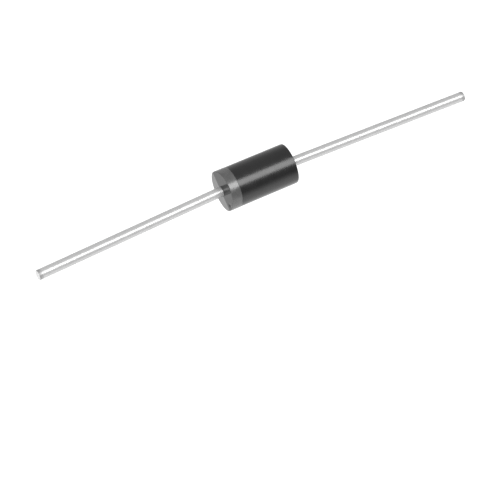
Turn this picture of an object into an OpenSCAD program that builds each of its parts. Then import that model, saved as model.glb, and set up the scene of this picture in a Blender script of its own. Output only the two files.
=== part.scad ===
// Axial rectifier diode, in millimetres: a moulded epoxy cylinder with a printed cathode band,
// two headed wire leads, and the soldered silicon junction that is sealed between their heads.
// The wires run along X with the banded cathode end at -X, and the origin is the moulding's centre.

/* [Moulded body] */
// length of the moulding, from the ridge of one end face to the ridge of the other
body_len = 9.5; // [8:0.1:10]
// diameter of the moulded cylinder
body_d = 5.1; // [4.6:0.05:5.6]
// slope of each half of an end face, which lets the mould's two halves draw apart
end_draft = 4.5; // [1:0.5:8]
// turn of the mould's parting plane about the wires' axis, from level
parting_turn = 37; // [0:1:90]

/* [Cathode band] */
// width of the printed ring, measured in from the end face's ridge
band_w = 1.53; // [1:0.01:2.5]
// thickness of the ink
ink_t = 0.03; // [0.02:0.01:0.06]

/* [Leads] */
// diameter of the tinned copper wire
lead_d = 1.25; // [1.1:0.01:1.35]
// free length of each wire, outside the moulding
lead_len = 25; // [20:0.2:28]
// bevel that the cropping blade leaves round each wire's end
tip_bevel = 0.12; // [0.05:0.01:0.25]
// how far the cathode wire leans out of line, in degrees
cathode_lean = 2.3; // [0.5:0.1:5]
// how far the anode wire leans out of line, in degrees
anode_lean = 1.9; // [0.5:0.1:5]
// straight length of wire between the moulding and its bend
exit_len = 0.25; // [0.1:0.05:1]
// radius of the bend, along the middle of the wire
bend_r = 8; // [4:0.5:20]
// how much the wire swells where it is bent, on its radius
bend_swell = 0.005; // [0.005:0.005:0.02]

/* [Wire heads] */
// diameter of the cold-formed head on the inner end of each wire
head_d = 2.8; // [2.6:0.05:3.2]
// thickness of the head
head_t = 0.5; // [0.35:0.05:0.7]
// rounding of the head's back edge
head_round = 0.15; // [0.05:0.01:0.2]
// fillet in the neck, between the head and the wire
neck_r = 0.3; // [0.1:0.05:0.35]

/* [Junction] */
// side of the square silicon die
die_w = 1.9; // [1.5:0.05:2]
// thickness of the die
die_t = 0.28; // [0.2:0.01:0.4]
// width of the etched step round the die's anode face
mesa_w = 0.12; // [0.05:0.01:0.2]
// depth of that step
mesa_t = 0.08; // [0.04:0.01:0.12]
// thickness of each solder layer between the die and a head
solder_t = 0.06; // [0.04:0.01:0.1]
// how far the silicone bead round the junction bulges past the heads
bead_bulge = 0.15; // [0.05:0.01:0.25]

/* [Hidden] */
// smoothness of preview only; every round face stays a true round
$fn = 96;
// distance from the moulding's centre to the face of each head
head_x = die_t / 2 + solder_t;
// where each wire's bend starts
bend_x = body_len / 2 + exit_len;
// how far the straight lengths of wire run into the bend between them
lap = 0.02;
// overshoot of the mould's end walls past the cylinder, so that they cut it cleanly
over = 1;
// all the sub-parts, and the one to show

// ---- shared forms ----

// A round bar along X, from the plane x = 0.
module bar(d, h)
    rotate([0, 90, 0])
        cylinder(d = d, h = h);

// Turns what was built for the anode end round to the cathode end, still leaning towards -Y.
module at_cathode_end()
    rotate([0, 180, 0])
        children();

// The space between the mould's end walls. Each wall is a shallow V with its ridge on the
// parting plane, so both end faces of the moulding are low roofs of two flat halves.
module between_end_walls() {
    wall_y = body_d / 2 + over;
    wall_x = body_len / 2 - wall_y * tan(end_draft);
    rotate([parting_turn + 90, 0, 0])
        linear_extrude(height = body_d + 2 * over, center = true)
            polygon([[body_len / 2, 0], [wall_x, wall_y], [-wall_x, wall_y],
                     [-body_len / 2, 0], [-wall_x, -wall_y], [wall_x, -wall_y]]);
}

// Half section of a wire's inner end: the head, its rounded back edge, the neck and the shank.
module headed_end_section() {
    head_r = head_d / 2;
    shank_r = lead_d / 2;
    square([head_r - head_round, head_t]);
    square([head_r, head_t - head_round]);
    translate([head_r - head_round, head_t - head_round])
        circle(r = head_round);
    square([shank_r, bend_x - head_x + lap]);
    translate([shank_r, head_t])
        difference() {
            square(neck_r);
            translate([neck_r, neck_r])
                circle(r = neck_r);
        }
}

// Half section of a wire's free length past its bend, with the bevel at its cropped end.
module free_length_section(run) {
    shank_r = lead_d / 2;
    polygon([[0, -lap], [shank_r, -lap], [shank_r, run - tip_bevel],
             [shank_r - tip_bevel, run], [0, run]]);
}

// A whole wire for the anode end, leaning towards -Y by the given angle past its bend.
module headed_wire(lean) {
    translate([head_x, 0, 0])
        rotate([0, 90, 0])
            rotate_extrude()
                headed_end_section();
    translate([bend_x, -bend_r, 0]) {
        rotate([180, 0, 90])
            rotate_extrude(angle = lean)
                translate([bend_r, 0])
                    circle(d = lead_d + 2 * bend_swell);
        rotate([0, 0, -lean])
            translate([0, bend_r, 0])
                rotate([0, 90, 0])
                    rotate_extrude()
                        free_length_section(lead_len - exit_len - bend_r * lean * PI / 180);
    }
}

// The silicone bead before the junction is taken out of it: a disc between the two heads,
// with a round rim that bulges past them.
module bead_blank() {
    rim_r = (head_x * head_x + bead_bulge * bead_bulge) / (2 * bead_bulge);
    rotate([0, 90, 0])
        rotate_extrude()
            intersection() {
                translate([0, -head_x])
                    square([head_d / 2 + bead_bulge, 2 * head_x]);
                union() {
                    translate([0, -head_x])
                        square([head_d / 2, 2 * head_x]);
                    translate([head_d / 2 + bead_bulge - rim_r, 0])
                        circle(r = rim_r);
                }
            }
}

// A square layer of the junction, w wide and t thick, from the plane x.
module layer(x, w, t)
    translate([x, -w / 2, -w / 2])
        cube([t, w, w]);

// ---- sub-parts ----

// Filled black epoxy, moulded round the junction and the inner ends of both wires.
module moulded_body()
    color([0.05, 0.05, 0.055])
        difference() {
            intersection() {
                translate([-body_len / 2 - over, 0, 0])
                    bar(body_d, body_len + 2 * over);
                between_end_walls();
            }
            headed_wire(anode_lean);
            at_cathode_end()
                headed_wire(cathode_lean);
            bead_blank();
        }

// Ring of silver-grey ink, printed on the cylinder from the cathode end's edge inwards.
module cathode_band()
    color([0.62, 0.62, 0.62])
        intersection() {
            translate([-body_len / 2 - over, 0, 0])
                difference() {
                    bar(body_d + 2 * ink_t, over + band_w);
                    translate([-over, 0, 0])
                        bar(body_d, band_w + 3 * over);
                }
            between_end_walls();
        }

// Tinned copper wire with its head soldered to the die's cathode face.
module cathode_lead()
    color([0.8, 0.8, 0.8])
        at_cathode_end()
            headed_wire(cathode_lean);

// Tinned copper wire with its head soldered to the die's anode face.
module anode_lead()
    color([0.8, 0.8, 0.8])
        headed_wire(anode_lean);

// The rectifier junction: a square silicon die, stepped round its anode face by the mesa etch.
module silicon_die()
    color([0.32, 0.34, 0.38])
        union() {
            layer(-die_t / 2, die_w, die_t - mesa_t);
            layer(die_t / 2 - mesa_t, die_w - 2 * mesa_w, mesa_t);
        }

// Solder between the cathode wire's head and the whole back of the die.
module cathode_solder()
    color([0.6, 0.6, 0.62])
        layer(-head_x, die_w, solder_t);

// Solder between the anode wire's head and the top of the die's mesa.
module anode_solder()
    color([0.6, 0.6, 0.62])
        layer(die_t / 2, die_w - 2 * mesa_w, solder_t);

// Silicone bead that seals the die's edges, filling the gap between the heads.
module junction_coating()
    color([0.9, 0.88, 0.82])
        difference() {
            bead_blank();
            silicon_die();
            cathode_solder();
            anode_solder();
        }

moulded_body();
cathode_band();
cathode_lead();
anode_lead();
silicon_die();
cathode_solder();
anode_solder();
junction_coating();
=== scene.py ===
# Axial rectifier diode: a moulded epoxy cylinder with a printed cathode band and a tinned wire
# out of each end, with the soldered junction sealed inside. Lengths are in metres in the frame
# of the part: X runs along the wires from the banded cathode end to the anode end, Z is up.
import math

import bpy
import numpy as np
from mathutils import Matrix, Vector


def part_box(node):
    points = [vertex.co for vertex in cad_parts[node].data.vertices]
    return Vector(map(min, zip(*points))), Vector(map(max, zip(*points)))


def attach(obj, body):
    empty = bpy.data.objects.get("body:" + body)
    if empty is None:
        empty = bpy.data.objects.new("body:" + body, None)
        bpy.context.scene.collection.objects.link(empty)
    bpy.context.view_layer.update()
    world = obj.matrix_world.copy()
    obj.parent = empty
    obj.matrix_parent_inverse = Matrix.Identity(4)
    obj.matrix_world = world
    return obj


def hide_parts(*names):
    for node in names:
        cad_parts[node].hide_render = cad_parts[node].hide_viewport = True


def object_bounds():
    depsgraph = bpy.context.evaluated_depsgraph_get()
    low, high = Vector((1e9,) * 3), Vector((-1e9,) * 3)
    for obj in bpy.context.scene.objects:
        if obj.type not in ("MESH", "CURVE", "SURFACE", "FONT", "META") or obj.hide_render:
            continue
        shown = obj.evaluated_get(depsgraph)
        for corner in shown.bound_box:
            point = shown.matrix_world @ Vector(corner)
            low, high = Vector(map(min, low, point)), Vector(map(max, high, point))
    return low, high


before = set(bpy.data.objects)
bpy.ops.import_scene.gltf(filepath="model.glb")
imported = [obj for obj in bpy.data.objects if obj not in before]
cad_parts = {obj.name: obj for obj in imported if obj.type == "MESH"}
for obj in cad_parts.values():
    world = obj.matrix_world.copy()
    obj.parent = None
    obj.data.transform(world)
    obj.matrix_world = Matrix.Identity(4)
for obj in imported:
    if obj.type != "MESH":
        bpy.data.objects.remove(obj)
cad_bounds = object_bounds()
MM = 0.001


# ---- Moulded body ----------------------------------------------------------------------------
# Black filled epoxy, transfer-moulded round the junction and the inner ends of both wires. Two
# mould halves meet on a plane through the axis: it leaves a thin line of flash along each side,
# and each end face is a low roof of two drafted halves. A little epoxy creeps up each wire.
BODY_LOW, BODY_HIGH = (np.array(corner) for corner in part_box("moulded_body"))
BODY_HALF = (BODY_HIGH[0] - BODY_LOW[0]) / 2
BODY_R = 2.55 * MM
END_DRAFT = math.radians(4.5)
PARTING_TURN = math.radians(37)
EDGE_R = 0.09 * MM
RIDGE_SOFTNESS = 0.05 * MM
FLASH_HEIGHT, FLASH_WIDTH = 0.010 * MM, 0.035 * MM
WIRE_R = 0.625 * MM
CREEP_HEIGHT, CREEP_REACH = 0.03 * MM, 0.05 * MM
DIMPLE_AT = np.array([-2.00, -0.67]) * MM
DIMPLE_R, DIMPLE_DEPTH = 0.20 * MM, 0.085 * MM
EPOXY_COLOUR = (0.0075, 0.0075, 0.0077, 1)
EPOXY_GRAIN, EPOXY_RELIEF = 0.09 * MM, 0.0012 * MM
EPOXY_ROUGHNESS, EPOXY_IOR = (0.22, 0.30), 1.62
# where the polished inserts' finish starts and is full, in from each end, and what it is
INSERT_STARTS, INSERT_FULL = 0.30 * MM, 0.22 * MM
END_FACE_ROUGHNESS, END_FACE_COAT = (0.11, 0.15), 0.2
# the grain's mottle to its fine spacing, the fine noise's part in its value, and the spans of
# that value that materials spread over their colours and roughness
MOTTLE_SHARE, FINE_SHARE = 0.08, 0.35
TIGHT, WIDE = (0.35, 0.65), (0.3, 0.7)


def turn_angles(count):
    """Angles once round the axis, ten times closer together at the parting plane than square to
    it: each half turn runs t - 0.9 sin(2 pi t) / (2 pi), for t from 0 to 1."""
    t = np.arange(count) / count * 2
    half, t = np.floor(t), t % 1
    return PARTING_TURN + math.pi * (half + t - 0.9 * np.sin(2 * math.pi * t) / (2 * math.pi))


def end_fall(radius, angle):
    """How far an end face lies behind its ridge: the distance from the parting plane times the
    tangent of the draft, with the ridge itself slightly rounded."""
    away = radius * np.sin(angle - PARTING_TURN)
    soft = np.hypot(away, RIDGE_SOFTNESS) - RIDGE_SOFTNESS
    return soft * math.tan(END_DRAFT)


def flash_rise(angle):
    """Height of the flash over the cylinder: a round-topped bead at both crossings of the
    parting plane, falling off with the square of the distance from it."""
    away = BODY_R * np.sin(angle - PARTING_TURN)
    return FLASH_HEIGHT * np.exp(-(away / FLASH_WIDTH) ** 2)


def half_profile(face_steps, side_steps):
    """Radius, distance in from the ridge and creep for one end's half section, from the wire out
    over the end face, round the edge's quarter circle and along the side to mid-length."""
    inside = np.linspace(0.3, 0.9, 4) * WIRE_R
    near_wire = WIRE_R + 5 * CREEP_REACH * np.linspace(0, 1, 18) ** 1.6
    face = np.linspace(near_wire[-1], BODY_R - EDGE_R, face_steps)[1:]
    quarter = np.linspace(0, math.pi / 2, 9)[1:]
    side = np.linspace(EDGE_R, BODY_HALF, side_steps)[1:]
    radius = np.concatenate([inside, near_wire, face, BODY_R - EDGE_R * (1 - np.sin(quarter)),
                             np.full(side.shape, BODY_R)])
    inward = np.concatenate([np.zeros(inside.size + near_wire.size + face.size),
                             EDGE_R * (1 - np.cos(quarter)), side])
    beyond_wire = np.maximum(radius - WIRE_R, 0)
    creep = CREEP_HEIGHT * np.exp(-beyond_wire / CREEP_REACH) * (radius < BODY_R / 2)
    return radius, inward, creep


def body_points(radius, inward, creep, angle, dies_out, lift=0.0):
    """Points of one end's half section carried round the axis. The roof's fall moves the end
    face and the edge in along X and dies out evenly along the side, over the distance given;
    lift stands the points off the surface."""
    radius, inward, creep = (v[:, None] for v in (radius, inward, creep))
    fall = end_fall(np.minimum(radius, BODY_R), angle[None, :])
    carried = np.clip(1 - (inward - EDGE_R) / (dies_out - EDGE_R), 0, 1)
    x = BODY_HALF - inward - fall * carried + creep
    on_side = np.clip(inward / EDGE_R, 0, 1)
    out = radius + lift + on_side * flash_rise(angle)[None, :]
    return np.stack([x, out * np.cos(angle), out * np.sin(angle)], axis=-1)


def smooth_piece(name, points, faces):
    """A smooth-shaded object from points and faces, in the scene."""
    mesh = bpy.data.meshes.new(name)
    mesh.from_pydata(points.tolist(), [], faces)
    mesh.polygons.foreach_set("use_smooth", np.ones(len(mesh.polygons), bool))
    mesh.update()
    piece = bpy.data.objects.new(name, mesh)
    bpy.context.scene.collection.objects.link(piece)
    return piece


def closed_skin(name, rings, places=None):
    """A closed surface through rings of points of equal count: quads between each ring and the
    next, and a fan of triangles from the middle of the first ring and of the last. The rings run
    towards -X with their points counter-clockwise seen from +X, so that faces point outwards."""
    count, around = rings.shape[:2]
    poles = rings[[0, -1]].mean(axis=1)
    points = np.concatenate([rings.reshape(-1, 3), poles])
    index = np.arange(count * around).reshape(count, around)
    after = np.roll(index, -1, axis=1)
    quads = np.stack([index[:-1], index[1:], after[1:], after[:-1]], axis=-1).reshape(-1, 4)
    first, last = count * around, count * around + 1
    start = np.stack([np.full(around, first), index[0], after[0]], axis=-1)
    end = np.stack([np.full(around, last), after[-1], index[-1]], axis=-1)
    piece = smooth_piece(name, points, quads.tolist() + start.tolist() + end.tolist())
    if places is not None:
        place_poles = places[[0, -1]].mean(axis=1)
        flat = np.concatenate([places.reshape(-1, 3), place_poles])
        piece.data.attributes.new("along_wire", "FLOAT_VECTOR", "POINT").data.foreach_set(
            "vector", flat.ravel())
    return piece


def shader(name):
    """A material with an empty tree, its Principled BSDF and its output."""
    material = bpy.data.materials.new(name)
    material.use_nodes = True
    tree = material.node_tree
    tree.nodes.clear()
    surface = tree.nodes.new("ShaderNodeBsdfPrincipled")
    out = tree.nodes.new("ShaderNodeOutputMaterial")
    tree.links.new(surface.outputs["BSDF"], out.inputs["Surface"])
    return material, tree, surface


def feed(tree, socket, value):
    """Links an output to a node's input, or sets the input to a plain value."""
    if isinstance(value, bpy.types.NodeSocket):
        tree.links.new(value, socket)
    else:
        socket.default_value = value


def add(tree, kind, settings=None, **inputs):
    """A node of a tree, with its settings, and its inputs given as values or as sockets."""
    made = tree.nodes.new(kind)
    for key, value in (settings or {}).items():
        setattr(made, key, value)
    for key, value in inputs.items():
        feed(tree, made.inputs[key.replace("_", " ")], value)
    return made


def arithmetic(tree, operation, *values):
    """The result of a Math node on values or sockets."""
    made = add(tree, "ShaderNodeMath", {"operation": operation})
    for socket, value in zip(made.inputs, values):
        feed(tree, socket, value)
    return made.outputs[0]


def blended(tree, factor, low, high):
    """A value between two values or sockets."""
    made = add(tree, "ShaderNodeMix", {"data_type": "FLOAT"}, Factor=factor)
    feed(tree, made.inputs[2], low)
    feed(tree, made.inputs[3], high)
    return made.outputs[0]


def mixed(tree, factor, low, high):
    """A colour between two colours or sockets."""
    made = add(tree, "ShaderNodeMix", {"data_type": "RGBA"}, Factor=factor)
    feed(tree, made.inputs[6], low)
    feed(tree, made.inputs[7], high)
    return made.outputs[2]


def shade(colour, times):
    """A colour made darker or lighter."""
    return tuple(times * c for c in colour[:3]) + (1,)


def ramp(tree, value, low, high, to_low=0.0, to_high=1.0):
    """Maps a value between two limits onto another range, clamped."""
    return add(tree, "ShaderNodeMapRange", {"clamp": True}, Value=value, From_Min=low,
               From_Max=high, To_Min=to_low, To_Max=to_high).outputs["Result"]


def grain_group():
    """Node group: a soft mottle and a fine grain in one, from two scales of noise. Size is the
    grain's spacing in metres; Value stays round 0.5, and Height is the fine grain alone."""
    group = bpy.data.node_groups.new("surface_grain", "ShaderNodeTree")
    group.interface.new_socket("Vector", in_out="INPUT", socket_type="NodeSocketVector")
    size = group.interface.new_socket("Size", in_out="INPUT", socket_type="NodeSocketFloat")
    size.default_value = 0.1 * MM
    group.interface.new_socket("Value", in_out="OUTPUT", socket_type="NodeSocketFloat")
    group.interface.new_socket("Height", in_out="OUTPUT", socket_type="NodeSocketFloat")
    given = group.nodes.new("NodeGroupInput")
    result = group.nodes.new("NodeGroupOutput")
    per_metre = arithmetic(group, "DIVIDE", 1.0, given.outputs["Size"])
    coarse = arithmetic(group, "MULTIPLY", per_metre, MOTTLE_SHARE)
    fine_noise = add(group, "ShaderNodeTexNoise", Vector=given.outputs["Vector"],
                     Scale=per_metre, Detail=2.0, Roughness=0.6)
    wide_noise = add(group, "ShaderNodeTexNoise", Vector=given.outputs["Vector"],
                     Scale=coarse, Detail=3.0, Roughness=0.5)
    both = blended(group, FINE_SHARE, wide_noise.outputs["Fac"], fine_noise.outputs["Fac"])
    group.links.new(both, result.inputs["Value"])
    group.links.new(fine_noise.outputs["Fac"], result.inputs["Height"])
    return group


def grain(tree, vector, size):
    """Places the surface grain in a material at the given spacing."""
    made = add(tree, "ShaderNodeGroup", {"node_tree": GRAIN}, Vector=vector, Size=size)
    return made.outputs["Value"], made.outputs["Height"]


def bumped(tree, surface, height, distance):
    """Feeds a height into the surface's normal, at its depth in metres."""
    bump = add(tree, "ShaderNodeBump", Height=height, Distance=distance, Strength=1.0)
    tree.links.new(bump.outputs["Normal"], surface.inputs["Normal"])


def from_middle(tree, place):
    """Distance along X from the middle of the object, either way."""
    x = add(tree, "ShaderNodeSeparateXYZ", Vector=place).outputs["X"]
    return arithmetic(tree, "ABSOLUTE", x)


GRAIN = grain_group()


def epoxy_material():
    """Semi-gloss black epoxy: near black, with the mould's fine spark-eroded grain on the side
    and a smoother finish on the end faces, which polished inserts mould."""
    material, tree, surface = shader("moulded_epoxy")
    place = tree.nodes.new("ShaderNodeTexCoord").outputs["Object"]
    value, height = grain(tree, place, EPOXY_GRAIN)
    tone = ramp(tree, value, *TIGHT)
    colour = mixed(tree, tone, shade(EPOXY_COLOUR, 0.8), shade(EPOXY_COLOUR, 1.25))
    tree.links.new(colour, surface.inputs["Base Color"])
    end_face = ramp(tree, from_middle(tree, place), BODY_HALF - INSERT_STARTS,
                    BODY_HALF - INSERT_FULL)
    rough = blended(tree, end_face, ramp(tree, value, *WIDE, *EPOXY_ROUGHNESS),
                    ramp(tree, value, *WIDE, *END_FACE_ROUGHNESS))
    tree.links.new(rough, surface.inputs["Roughness"])
    surface.inputs["IOR"].default_value = EPOXY_IOR
    tree.links.new(ramp(tree, end_face, 0, 1, 0, END_FACE_COAT), surface.inputs["Coat Weight"])
    surface.inputs["Coat Roughness"].default_value = 0.06
    smoothed = arithmetic(tree, "MULTIPLY", height, ramp(tree, end_face, 0, 1, 1, 0.3))
    bumped(tree, surface, smoothed, EPOXY_RELIEF)
    return material


def mirrored_rings(right):
    """The whole length's rings from one end's, which run from the +X pole to mid-length. The
    other end is their mirror image, in reverse order, without a second mid-length ring."""
    left = right[::-1][1:] * np.array([-1, 1, 1])
    return np.concatenate([right, left])


def dimpled(rings):
    """Presses an ejector pin's mark into the cathode end face: a round hollow whose depth falls
    off as exp(-(distance / DIMPLE_R) squared) from its middle, at DIMPLE_AT in Y and Z."""
    pressed = rings.copy()
    away = np.hypot(rings[..., 1] - DIMPLE_AT[0], rings[..., 2] - DIMPLE_AT[1])
    at_cathode_end = np.clip((-rings[..., 0] - BODY_HALF + 0.5 * MM) / (0.2 * MM), 0, 1)
    pressed[..., 0] += DIMPLE_DEPTH * np.exp(-(away / DIMPLE_R) ** 2) * at_cathode_end
    return pressed


ANGLES = turn_angles(400)
body = closed_skin("moulded_body_skin", dimpled(
    mirrored_rings(body_points(*half_profile(36, 30), ANGLES, BODY_HALF))))
body.data.materials.append(epoxy_material())
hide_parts("moulded_body")
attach(body, "root")


# ---- Cathode band ----------------------------------------------------------------------------
# Silver-grey ink, rolled on round the cylinder from the cathode end's edge inwards and cured.
# The film is thin, feathers out at both edges, and its inner edge wanders by a few microns.
BAND_W = 1.48 * MM
INK_T = 0.018 * MM
INK_FEATHER = 0.02 * MM
INK_STARTS = math.radians(12)
INK_WANDER = 0.006 * MM
INK_SUNK, INK_UNDER = 0.001 * MM, 0.02 * MM
INK_COLOUR = (0.11, 0.11, 0.11, 1)
INK_GRAIN, INK_RELIEF = 0.05 * MM, 0.0012 * MM
INK_ROUGHNESS, INK_METALLIC, INK_IOR = (0.24, 0.32), 0.3, 1.85


def band_rings(angle, steps):
    """Closed loop of the film's section carried round the axis: out over the body's edge and
    side with a thickness of INK_T (1 - exp(-d / feather)) at a distance d from either edge of
    the film, its edges INK_SUNK below the surface, then back INK_UNDER below it."""
    quarter = np.linspace(INK_STARTS, math.pi / 2, 6)[:-1]
    side = np.linspace(EDGE_R, BAND_W, steps)
    radius = np.concatenate([BODY_R - EDGE_R * (1 - np.sin(quarter)), np.full(steps, BODY_R)])
    inward = np.concatenate([EDGE_R * (1 - np.cos(quarter)), side])
    along = np.linspace(0, 1, radius.size)
    length = np.concatenate([[0], np.cumsum(np.hypot(np.diff(radius), np.diff(inward)))])
    thick = INK_T * (1 - np.exp(-length / INK_FEATHER)) * (
        1 - np.exp(-(length[-1] - length) / INK_FEATHER))
    wander = INK_WANDER * (np.sin(5 * angle + 0.7) + 0.6 * np.sin(13 * angle + 2.1)
                           + 0.4 * np.sin(29 * angle))
    outer = body_points(radius, inward, np.zeros_like(radius), angle, BAND_W)
    radial = np.stack([np.zeros_like(angle), np.cos(angle), np.sin(angle)], axis=-1)
    outer = outer + radial[None] * (thick - INK_SUNK)[:, None, None]
    outer[..., 0] -= wander[None, :] * (along ** 3)[:, None]
    under = body_points(radius, inward, np.zeros_like(radius), angle, BAND_W, -INK_UNDER)[::-1]
    under[..., 0] -= wander[None, :] * (along[::-1] ** 3)[:, None]
    return np.concatenate([outer, under]) * np.array([-1, 1, 1])


def ring_skin(name, rings):
    """A closed surface through rings of points whose last ring joins the first again."""
    count, around = rings.shape[:2]
    index = np.arange(count * around).reshape(count, around)
    below = np.roll(index, -1, axis=0)
    quads = np.stack([index, np.roll(index, -1, axis=1), np.roll(below, -1, axis=1), below],
                     axis=-1).reshape(-1, 4)
    return smooth_piece(name, rings.reshape(-1, 3), quads.tolist())


def ink_material():
    """Silver-grey ink: fine metal flakes in a dull binder, thin enough to look a little uneven."""
    material, tree, surface = shader("silver_grey_ink")
    place = tree.nodes.new("ShaderNodeTexCoord").outputs["Object"]
    value, height = grain(tree, place, INK_GRAIN)
    tone = ramp(tree, value, *TIGHT)
    colour = mixed(tree, tone, shade(INK_COLOUR, 0.85), shade(INK_COLOUR, 1.1))
    tree.links.new(colour, surface.inputs["Base Color"])
    tree.links.new(ramp(tree, value, *WIDE, *INK_ROUGHNESS), surface.inputs["Roughness"])
    surface.inputs["Metallic"].default_value = INK_METALLIC
    surface.inputs["IOR"].default_value = INK_IOR
    bumped(tree, surface, height, INK_RELIEF)
    return material


band = ring_skin("cathode_band_ink", band_rings(ANGLES, 30))
band.data.materials.append(ink_material())
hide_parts("cathode_band")
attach(band, "root")


# ---- Wire leads ------------------------------------------------------------------------------
# Each is one drawn copper wire, tinned, with a head cold-formed on its inner end and a cropped
# outer end. Both lean a little towards -Y from a slight bend just outside the moulding.
LEAD_LEN = 25 * MM
HEAD_X = 0.2 * MM
HEAD_R, HEAD_T, HEAD_ROUND, HEAD_RIM = 1.4 * MM, 0.5 * MM, 0.15 * MM, 0.02 * MM
NECK_R = 0.3 * MM
EXIT_LEN, BEND_R = 0.25 * MM, 8 * MM
TIP_BEVEL, BEVEL_SHARE = 0.12 * MM, 0.6
TIN_COLOUR = (0.57, 0.57, 0.57, 1)
CROPPED_COLOUR = (0.34, 0.34, 0.34, 1)
CUT_COLOUR = (0.9, 0.9, 0.9, 1)
CROPPED_LEN = 0.42 * MM
TIN_ROUGHNESS, TIN_METALLIC, TIN_IOR = (0.29, 0.35), 0.37, 1.8
RUBBED_ROUGHNESS = 0.5
TIN_RELIEF = 0.0015 * MM
STREAK_GRAIN, CLOUD_GRAIN = 0.06 * MM, 0.07 * MM


def wire_section():
    """Distance along the wire from the head's face, and radius: the face, the head's rim with
    its rounded back edge, the neck's quarter-circle fillet, the shank, and the cropped end."""
    rounding = np.linspace(0, math.pi / 2, 7)
    neck = np.linspace(0, math.pi / 2, 9)
    total = BODY_HALF - HEAD_X + LEAD_LEN
    shank = np.linspace(HEAD_T + NECK_R, total - 2 * TIP_BEVEL, 160)[1:]
    crop = np.linspace(0, math.pi / 2, 8)
    along = np.concatenate([[0, 0, HEAD_RIM], HEAD_T - HEAD_ROUND * (1 - np.sin(rounding)),
                            HEAD_T + NECK_R * (1 - np.cos(neck)), shank,
                            total - TIP_BEVEL * (1 - np.sin(crop)), [total, total]])
    radius = np.concatenate([[HEAD_R * 0.5, HEAD_R - HEAD_RIM, HEAD_R],
                             HEAD_R - HEAD_ROUND * (1 - np.cos(rounding)),
                             WIRE_R + NECK_R * (1 - np.sin(neck)),
                             np.full(shank.shape, WIRE_R),
                             WIRE_R - BEVEL_SHARE * TIP_BEVEL * (1 - np.cos(crop)),
                             [WIRE_R * 0.7, WIRE_R * 0.3]])
    return along, radius


def wire_path(along, lean):
    """Centre line of a wire in the plane of both wires: straight to the bend, an arc of radius
    BEND_R through the lean, then straight. Gives points and the direction at each."""
    start = BODY_HALF + EXIT_LEN - HEAD_X
    turned = np.clip((along - start) / BEND_R, 0, lean)
    x = HEAD_X + np.minimum(along, start) + BEND_R * np.sin(turned)
    y = -BEND_R * (1 - np.cos(turned))
    beyond = np.maximum(along - start - BEND_R * lean, 0)
    x, y = x + beyond * np.cos(lean), y - beyond * np.sin(lean)
    return x, y, turned


def wire_rings(lean, around):
    """The wire's section carried along its centre line, as rings from the cropped end inwards,
    and each point's place along and across the straightened wire."""
    along, radius = wire_section()
    x, y, turned = (v[:, None] for v in wire_path(along, lean))
    angle = np.arange(around) / around * 2 * math.pi
    side, up = radius[:, None] * np.cos(angle), radius[:, None] * np.sin(angle)
    rings = np.stack([x + side * np.sin(turned), y + side * np.cos(turned),
                      np.broadcast_to(up, side.shape)], axis=-1)
    places = np.stack([np.broadcast_to(along[:, None], side.shape), side, up], axis=-1)
    return rings[::-1], places[::-1]


def tin_material():
    """Tin plating over drawn copper: satin metal with faint streaks along the wire from the
    drawing die, a slightly cloudy reflow mottle, and a dark collar behind the cropped face,
    where the blades rubbed the tin off."""
    material, tree, surface = shader("tinned_wire")
    place = add(tree, "ShaderNodeAttribute", {"attribute_name": "along_wire"}).outputs["Vector"]
    drawn = add(tree, "ShaderNodeMapping", {"vector_type": "POINT"}, Vector=place,
                Scale=(0.03, 1, 1)).outputs["Vector"]
    _, streaks = grain(tree, drawn, STREAK_GRAIN)
    cloud, speck = grain(tree, place, CLOUD_GRAIN)
    plating = mixed(tree, ramp(tree, cloud, *TIGHT), shade(TIN_COLOUR, 0.93), TIN_COLOUR)
    along = add(tree, "ShaderNodeSeparateXYZ", Vector=place).outputs["X"]
    tip = BODY_HALF - HEAD_X + LEAD_LEN
    rubbed = ramp(tree, along, tip - CROPPED_LEN - 0.15 * MM, tip - CROPPED_LEN + 0.2 * MM)
    off_face = ramp(tree, along, tip - 0.04 * MM, tip - 0.01 * MM, 1, 0)
    collar = arithmetic(tree, "MULTIPLY", rubbed, off_face)
    outside = mixed(tree, collar, plating, CROPPED_COLOUR)
    tree.links.new(mixed(tree, off_face, CUT_COLOUR, outside), surface.inputs["Base Color"])
    surface.inputs["Metallic"].default_value = TIN_METALLIC
    surface.inputs["IOR"].default_value = TIN_IOR
    rough = blended(tree, rubbed, ramp(tree, cloud, *WIDE, *TIN_ROUGHNESS), RUBBED_ROUGHNESS)
    tree.links.new(rough, surface.inputs["Roughness"])
    relief = arithmetic(tree, "MULTIPLY_ADD", speck, 0.5, streaks)
    bumped(tree, surface, relief, TIN_RELIEF)
    return material


TIN = tin_material()
for node, lean, towards in (("anode_lead", math.radians(1.9), 1),
                            ("cathode_lead", math.radians(2.3), -1)):
    rings, places = wire_rings(lean, 96)
    if towards < 0:
        # half a turn about Y keeps the lean towards -Y and the faces outwards
        rings = rings * np.array([-1, 1, -1])
    wire = closed_skin(node + "_wire", rings, places)
    wire.data.materials.append(TIN)
    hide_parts(node)
    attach(wire, "root")


# ---- Junction --------------------------------------------------------------------------------
# Sealed inside the moulding: the silicon die, sawn square and stepped by its mesa etch, between
# two layers of solder, with a bead of cured silicone round its edges between the wires' heads.


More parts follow.
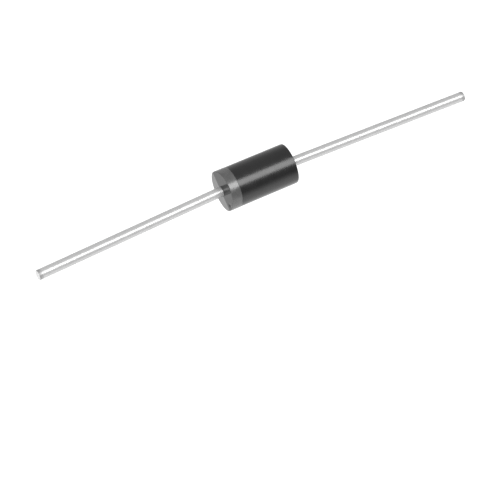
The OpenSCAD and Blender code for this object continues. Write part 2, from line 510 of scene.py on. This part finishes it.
def silicon_material():
    """Lapped silicon: dark grey with a metallic sheen and faint lines from sawing."""
    material, tree, surface = shader("lapped_silicon")
    place = tree.nodes.new("ShaderNodeTexCoord").outputs["Object"]
    sawn = add(tree, "ShaderNodeMapping", {"vector_type": "POINT"}, Vector=place,
               Scale=(1, 0.05, 1)).outputs["Vector"]
    value, height = grain(tree, sawn, 0.03 * MM)
    tone = ramp(tree, value, *TIGHT)
    colour = mixed(tree, tone, (0.10, 0.105, 0.12, 1), (0.17, 0.175, 0.20, 1))
    tree.links.new(colour, surface.inputs["Base Color"])
    surface.inputs["Metallic"].default_value = 0.8
    tree.links.new(ramp(tree, value, *WIDE, 0.2, 0.35), surface.inputs["Roughness"])
    bumped(tree, surface, height, 0.001 * MM)
    return material


def solder_material():
    """High-lead solder: dull grey metal, lightly pitted where it froze."""
    material, tree, surface = shader("reflowed_solder")
    place = tree.nodes.new("ShaderNodeTexCoord").outputs["Object"]
    value, height = grain(tree, place, 0.05 * MM)
    tone = ramp(tree, value, *WIDE)
    colour = mixed(tree, tone, (0.36, 0.36, 0.37, 1), (0.52, 0.52, 0.53, 1))
    tree.links.new(colour, surface.inputs["Base Color"])
    surface.inputs["Metallic"].default_value = 1.0
    tree.links.new(ramp(tree, value, *WIDE, 0.4, 0.55), surface.inputs["Roughness"])
    bumped(tree, surface, height, 0.004 * MM)
    return material


def silicone_material():
    """Cured silicone bead: milky, soft-looking and faintly wet."""
    material, tree, surface = shader("cured_silicone")
    place = tree.nodes.new("ShaderNodeTexCoord").outputs["Object"]
    value, height = grain(tree, place, 0.12 * MM)
    tone = ramp(tree, value, *WIDE)
    colour = mixed(tree, tone, (0.66, 0.63, 0.56, 1), (0.80, 0.78, 0.72, 1))
    tree.links.new(colour, surface.inputs["Base Color"])
    tree.links.new(ramp(tree, value, *WIDE, 0.25, 0.4), surface.inputs["Roughness"])
    surface.inputs["Subsurface Weight"].default_value = 0.2
    surface.inputs["Subsurface Scale"].default_value = 0.2 * MM
    bumped(tree, surface, height, 0.003 * MM)
    return material


SOLDER = solder_material()
for node, finish in (("silicon_die", silicon_material()), ("cathode_solder", SOLDER),
                     ("anode_solder", SOLDER), ("junction_coating", silicone_material())):
    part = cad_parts[node]
    part.data.materials.clear()
    part.data.materials.append(finish)


# ---- Studio ----------------------------------------------------------------------------------
# The diode lies on a plain white floor in soft light: one softbox over it, where the body's
# crown mirrors it towards the camera, in a room that is dim in front and pale behind.
FLOOR_Z = cad_bounds[0][2]
FLOOR_SIZE = 6.0
CAMERA_AZIMUTH, CAMERA_ELEVATION = math.radians(-30.57), math.radians(46.99)
CAMERA_DISTANCE = 0.2441
CAMERA_LENS, CAMERA_SENSOR = 145.8, 36
VIEW_CENTRE = (-0.64 * MM, -8.755 * MM)
SOFTBOX_ALONG_X, SOFTBOX_RISE = 0.05, math.radians(54.8)
SOFTBOX_DISTANCE, SOFTBOX_SIZE = 0.5, (0.8, 0.28)
SOFTBOX_RADIANCE = 4.85
FLOOR_RADIANCE, FLOOR_NEAR = 1.3, 1.16
FLOOR_IN_FRONT, FLOOR_BEHIND, FLOOR_CHANGES = 0.25, 0.6, (-10 * MM, 5 * MM)
SLANT_CHANGES = (0.5, 0.95)
ROOM_ABOVE, ROOM_IN_FRONT, ROOM_BEHIND = 0.49, 0.25, 0.78
FRONT_CHANGES, BEHIND_CHANGES = (-0.9, -0.1), (0.75, 1.0)
FLAG, FLAG_CHANGES = 0.2, (0.45, 0.75)


def white_floor():
    """One large square under the object, which the camera sees as seamless white. What mirrors
    it sees it dimmer, and dimmest at a slant and in front of the diode."""
    half = FLOOR_SIZE / 2
    mesh = bpy.data.meshes.new("floor")
    mesh.from_pydata([(-half, -half, FLOOR_Z), (half, -half, FLOOR_Z), (half, half, FLOOR_Z),
                      (-half, half, FLOOR_Z)], [], [(0, 1, 2, 3)])
    floor = bpy.data.objects.new("floor", mesh)
    bpy.context.scene.collection.objects.link(floor)
    material = bpy.data.materials.new("white_floor")
    material.use_nodes = True
    tree = material.node_tree
    tree.nodes.clear()
    seen = tree.nodes.new("ShaderNodeLightPath").outputs["Is Camera Ray"]
    slant = tree.nodes.new("ShaderNodeLayerWeight").outputs["Facing"]
    y = add(tree, "ShaderNodeSeparateXYZ",
            Vector=tree.nodes.new("ShaderNodeTexCoord").outputs["Object"]).outputs["Y"]
    far = ramp(tree, y, *FLOOR_CHANGES, FLOOR_IN_FRONT, FLOOR_BEHIND)
    mirrored = ramp(tree, slant, *SLANT_CHANGES, FLOOR_NEAR, far)
    glow = add(tree, "ShaderNodeEmission", Color=(1, 1, 1, 1),
               Strength=blended(tree, seen, mirrored, FLOOR_RADIANCE))
    out = tree.nodes.new("ShaderNodeOutputMaterial")
    tree.links.new(glow.outputs[0], out.inputs["Surface"])
    floor.data.materials.append(material)


def pale_room():
    """World light: dim in front of the diode, paler overhead and palest low down behind it, with
    a black flag off the anode end, for everything that it lights, and white to the camera."""
    world = bpy.data.worlds.new("room")
    world.use_nodes = True
    tree = world.node_tree
    tree.nodes.clear()
    seen = tree.nodes.new("ShaderNodeLightPath").outputs["Is Camera Ray"]
    split = add(tree, "ShaderNodeSeparateXYZ",
                Vector=tree.nodes.new("ShaderNodeTexCoord").outputs["Generated"])
    sideways, way = split.outputs["X"], split.outputs["Y"]
    near = ramp(tree, way, *FRONT_CHANGES, ROOM_IN_FRONT, ROOM_ABOVE)
    lit = ramp(tree, way, *BEHIND_CHANGES, near, ROOM_BEHIND)
    flagged = arithmetic(tree, "MULTIPLY", lit, ramp(tree, sideways, *FLAG_CHANGES, 1, FLAG))
    glow = add(tree, "ShaderNodeBackground", Color=(1, 1, 1, 1),
               Strength=blended(tree, seen, flagged, FLOOR_RADIANCE))
    out = tree.nodes.new("ShaderNodeOutputWorld")
    tree.links.new(glow.outputs[0], out.inputs["Surface"])
    bpy.context.scene.world = world


def softbox():
    """A rectangular area light aimed at the body. Its power is radiance times pi times area."""
    across = math.sqrt(1 - SOFTBOX_ALONG_X ** 2)
    towards = Vector((SOFTBOX_ALONG_X, -across * math.cos(SOFTBOX_RISE),
                      across * math.sin(SOFTBOX_RISE)))
    light = bpy.data.lights.new("softbox", "AREA")
    light.shape = "RECTANGLE"
    light.size, light.size_y = SOFTBOX_SIZE
    light.energy = SOFTBOX_RADIANCE * math.pi * SOFTBOX_SIZE[0] * SOFTBOX_SIZE[1]
    lamp = bpy.data.objects.new("softbox", light)
    along = (Vector((1, 0, 0)) - towards * towards.x).normalized()
    lamp.matrix_world = Matrix.Translation(towards * SOFTBOX_DISTANCE) @ Matrix(
        (along, towards.cross(along), towards)).transposed().to_4x4()
    bpy.context.scene.collection.objects.link(lamp)


def camera():
    """Long-lens camera above and to the cathode side, aimed a little in front of the body."""
    turn, rise = CAMERA_AZIMUTH, CAMERA_ELEVATION
    back = Vector((math.sin(turn) * math.cos(rise), -math.cos(turn) * math.cos(rise),
                   math.sin(rise)))
    right = Vector((math.cos(turn), math.sin(turn), 0))
    up = back.cross(right)
    centre = right * VIEW_CENTRE[0] + up * VIEW_CENTRE[1]
    data = bpy.data.cameras.new("camera")
    data.lens, data.sensor_width = CAMERA_LENS, CAMERA_SENSOR
    data.clip_start, data.clip_end = 0.01, 20
    seen_from = bpy.data.objects.new("camera", data)
    seen_from.matrix_world = Matrix.Translation(centre + back * CAMERA_DISTANCE) @ Matrix(
        (right, up, back)).transposed().to_4x4()
    bpy.context.scene.collection.objects.link(seen_from)
    bpy.context.scene.camera = seen_from


white_floor()
pale_room()
softbox()
camera()
bpy.context.scene.view_settings.view_transform = "Standard"
